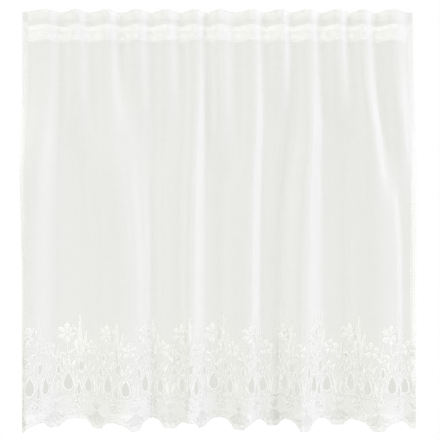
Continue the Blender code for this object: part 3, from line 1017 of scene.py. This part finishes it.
tape_faces = column_faces(TAPE_COLUMNS, len(PROFILE))
tape = cloth_object("gathering_tape", tape_flat, tape_faces, [tape_weave])
hang(tape)
smooth(tape)
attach(tape, "root")
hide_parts("heading_tape")
print("the tape is", round(tape.dimensions.z * 1000, 1), "mm deep")

# %% Hook pockets between the cords
POCKETS, POCKET_COLUMNS = 40, 4
POCKET_SHARE, PLAIN_END = 0.6, 0.010
POCKET_TOP, POCKET_FOOT = 0.012, 0.0011
BOW = ((0.0000, 0.0), (0.0015, 0.0010), (0.0050, 0.0016), (0.0085, 0.0010), (0.0100, 0.0))


def pocket_row():
    """Bowed bridges of net that stand a little off the tape, with a gap between one and the next."""
    points, faces = [], []
    pitch = (FLAT_WIDTH - 2 * TAPE_INSET - 2 * PLAIN_END) / POCKETS
    top, foot_height = -TAPE_TOP - POCKET_TOP, -TAPE_GAP - POCKET_FOOT
    for number in range(POCKETS):
        left = TAPE_INSET + PLAIN_END + (number + (1 - POCKET_SHARE) / 2) * pitch
        faces += column_faces(POCKET_COLUMNS, len(BOW), len(points))
        for x in np.linspace(left, left + pitch * POCKET_SHARE, POCKET_COLUMNS):
            points += [(x, top - down, foot_height - rise) for down, rise in BOW]
    return np.array(points), faces


pocket_flat, pocket_faces = pocket_row()
pockets = cloth_object("hook_pockets", pocket_flat, pocket_faces, [pocket_mesh])
hang(pockets)
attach(pockets, "root")
print(POCKETS, "pockets")

# %% [markdown]
# ## Seams
#
# A lockstitch is a row of short threads with a small gap at each needle hole. Rows of them hold the
# tape's two edges and the turned hems. One stitch is a six-sided cord 2.2 mm long that shows on the
# front and the back at once, and each row repeats it every 3 mm along its line.

# %% Sew the rows
STITCH_PITCH, STITCH_LENGTH = 3.0 * MM, 2.2 * MM
STITCH_SINK = 0.5 * MM
FROM_EDGE, FROM_SIDE_HEM = 2.0 * MM, 1.5 * MM
CLEAR_OF_CORNER, CLEAR_OF_LOBE = 4.0 * MM, 30.0 * MM


def seam(start, end):
    """Stitches from one flat place to another."""
    start, end = np.array(start), np.array(end)
    length = np.linalg.norm(end - start)
    way = (end - start) / length
    marks = np.array([[0.0], [STITCH_LENGTH / 2], [STITCH_LENGTH]])
    return [
        Cord(start + way * (t + marks), 0.6 * MM, 0.9 * MM)
        for t in np.arange(0.0, length - STITCH_LENGTH, STITCH_PITCH)
    ]


seam_runs = []
for y, from_side in (
    (-TOP_HEM + FROM_EDGE, CLEAR_OF_CORNER),
    (-TAPE_TOP - FROM_EDGE, TAPE_INSET),
    (-TAPE_BOTTOM + FROM_EDGE, TAPE_INSET),
):
    seam_runs += seam((from_side, y), (FLAT_WIDTH - from_side, y))
for x in (SIDE_HEM - FROM_SIDE_HEM, FLAT_WIDTH - SIDE_HEM + FROM_SIDE_HEM):
    seam_runs += seam((x, -CLEAR_OF_CORNER), (x, -DROP + CLEAR_OF_LOBE))
seams = cords("seams", seam_runs, sewing_thread)
seams.data.transform(Matrix.Translation((0.0, 0.0, -STITCH_SINK)))
hang(seams)
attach(seams, "root")
print(len(seam_runs), "stitches")

# %% [markdown]
# ## The studio
#
# The curtain is nearly as white as its surroundings, so what is seen through it decides how it
# looks. The walls are pale grey with a soft light overhead. A white screen stands far behind the
# cloth, with a pale grey card in its middle, so that from the front the voile shows against grey
# and the outline against white. The floor is well below and fades out at its rim.

# %% Floor
FLOOR_BELOW, FLOOR_RADIUS = 1.9, 3.0
FADE_START, FADE_END = 1.3, 2.9
bpy.ops.object.select_all(action="DESELECT")
bpy.ops.mesh.primitive_circle_add(vertices=64, radius=FLOOR_RADIUS, fill_type="NGON", location=(0, 0, 0))
floor = bpy.context.object
floor.name = "floor"
floor.data.transform(Matrix.Translation((0.0, 0.0, -FLOOR_BELOW)))
floor_paint, floor_tree = new_material("matt_pale_floor")
floor_place = add(floor_tree, "ShaderNodeTexCoord").outputs["Object"]
level = {"operation": "MULTIPLY"}
floor_flat = add(floor_tree, "ShaderNodeVectorMath", level, _0=floor_place, _1=(1.0, 1.0, 0.0))
floor_reach = add(floor_tree, "ShaderNodeVectorMath", {"operation": "LENGTH"}, _0=floor_flat.outputs[0])
floor_fade = add(
    floor_tree,
    "ShaderNodeMapRange",
    {"interpolation_type": "SMOOTHSTEP"},
    Value=floor_reach.outputs["Value"],
    From_Min=FADE_START,
    From_Max=FADE_END,
    To_Min=0.0,
    To_Max=1.0,
)
floor_matt = add(floor_tree, "ShaderNodeBsdfDiffuse", None, Color=linear("#B9B9B6")).outputs[0]
floor_clear = add(floor_tree, "ShaderNodeBsdfTransparent").outputs[0]
fade = floor_fade.outputs[0]
floor_mix = add(floor_tree, "ShaderNodeMixShader", None, _0=fade, _1=floor_matt, _2=floor_clear)
add(floor_tree, "ShaderNodeOutputMaterial", None, Surface=floor_mix.outputs[0])
floor.data.materials.append(floor_paint)
print("the floor is", FLOOR_BELOW, "m below the heading")

# %% [markdown]
# The screen and the card are painted into the world, by direction. Seen from the camera, a
# direction's x and z, divided by its y, say where it meets a wall one metre ahead.

# %% World: pale grey walls with soft light overhead, a white screen ahead, and a grey card on it
CARD = {"left": -0.2815, "right": 0.2745, "top": 0.2960, "bottom": -0.2785}
CARD_RIM = 0.004
SCREEN_HALF, SCREEN_RIM = 0.36, 0.10
OVERHEAD_FROM, OVERHEAD_FULL, OVERHEAD_STRENGTH = 0.30, 0.60, 2.3
world = bpy.data.worlds.new("studio")
bpy.context.scene.world = world
world.use_nodes = True
sky = world.node_tree
sky.nodes.clear()
direction = add(sky, "ShaderNodeTexCoord").outputs["Generated"]
parts = add(sky, "ShaderNodeSeparateXYZ", None, Vector=direction)


def counted(operation, first, second=0.0):
    """The result of one step of arithmetic in the sky's nodes."""
    return add(sky, "ShaderNodeMath", {"operation": operation}, _0=first, _1=second).outputs[0]


ahead = counted("MAXIMUM", parts.outputs["Y"], 0.001)
wall_x = counted("DIVIDE", parts.outputs["X"], ahead)
wall_z = counted("DIVIDE", parts.outputs["Z"], ahead)


def inside(value, low, high, soft):
    """1 between low and high on the wall, falling to 0 over the soft width beyond each."""
    away = counted("ABSOLUTE", counted("SUBTRACT", value, (low + high) / 2))
    half = (high - low) / 2
    return add(
        sky,
        "ShaderNodeMapRange",
        {"interpolation_type": "SMOOTHSTEP"},
        Value=away,
        From_Min=half,
        From_Max=half + soft,
        To_Min=1.0,
        To_Max=0.0,
    ).outputs[0]


def patch(left, right, bottom, top, rim):
    """1 on a rectangle of the wall and 0 round it."""
    return counted("MULTIPLY", inside(wall_x, left, right, rim), inside(wall_z, bottom, top, rim))


def painted(share, beneath, hex_code):
    """A colour laid over another where the share is 1."""
    over = linear(hex_code)
    return add(sky, "ShaderNodeMix", {"data_type": "RGBA"}, Factor=share, _6=beneath, _7=over).outputs[2]


on_card = patch(CARD["left"], CARD["right"], CARD["bottom"], CARD["top"], CARD_RIM)
on_screen = patch(-SCREEN_HALF, SCREEN_HALF, -SCREEN_HALF, SCREEN_HALF, SCREEN_RIM)
screen = painted(on_screen, linear("#DCDCDA"), "#FFFFFF")
card = painted(on_card, screen, "#E1E2DD")
overhead = add(
    sky,
    "ShaderNodeMapRange",
    {"interpolation_type": "SMOOTHSTEP"},
    Value=parts.outputs["Z"],
    From_Min=OVERHEAD_FROM,
    From_Max=OVERHEAD_FULL,
    To_Min=1.0,
    To_Max=OVERHEAD_STRENGTH,
)
light = add(sky, "ShaderNodeBackground", None, Color=card, Strength=overhead.outputs[0])
add(sky, "ShaderNodeOutputWorld", None, Surface=light.outputs[0])
print("the card covers", CARD)

# %% [markdown]
# The key light stands to the right in front, large, soft and slightly cool, so that it picks out the
# flanks that turn to the right. A weak one fills from the left. The third stands behind on the
# right. It shines through the flanks that turn to the left, which the key only grazes, so thread
# and tape look evenly pale along the folds.


# %% Lights
def soft_sun(name, azimuth, elevation, strength, spread, hex_code="#FFFFFF"):
    """A sun that shines from azimuth (0 in front, 90 to the right) and elevation."""
    lamp = bpy.data.lights.new(name, "SUN")
    lamp.energy = strength
    lamp.color = linear(hex_code)[:3]
    lamp.angle = math.radians(spread)
    sun = bpy.data.objects.new(name, lamp)
    bpy.context.scene.collection.objects.link(sun)
    a, e = math.radians(azimuth), math.radians(elevation)
    towards = Vector((math.sin(a) * math.cos(e), -math.cos(a) * math.cos(e), math.sin(e)))
    sun.rotation_euler = towards.to_track_quat("Z", "Y").to_euler()


soft_sun("key", 55, 20, 1.10, 25, "#E3E2FF")
soft_sun("fill", -35, 20, 0.40, 40)
soft_sun("back", 135, 25, 1.05, 40)
print("three soft lights")

# %% Camera at the photograph's place
LENS, SENSOR = 56.9, 36.0
CAMERA_PLACE = (0.003, -1.5, -0.451)
camera_data = bpy.data.cameras.new("camera")
camera_data.lens = LENS
camera_data.sensor_width = SENSOR
camera = bpy.data.objects.new("camera", camera_data)
bpy.context.scene.collection.objects.link(camera)
camera.location = CAMERA_PLACE
camera.rotation_euler = (math.radians(90), 0.0, 0.0)
bpy.context.scene.camera = camera
bpy.context.scene.view_settings.view_transform = "Standard"
bpy.context.view_layer.update()
print("the camera stands", -camera.location.y, "m in front")
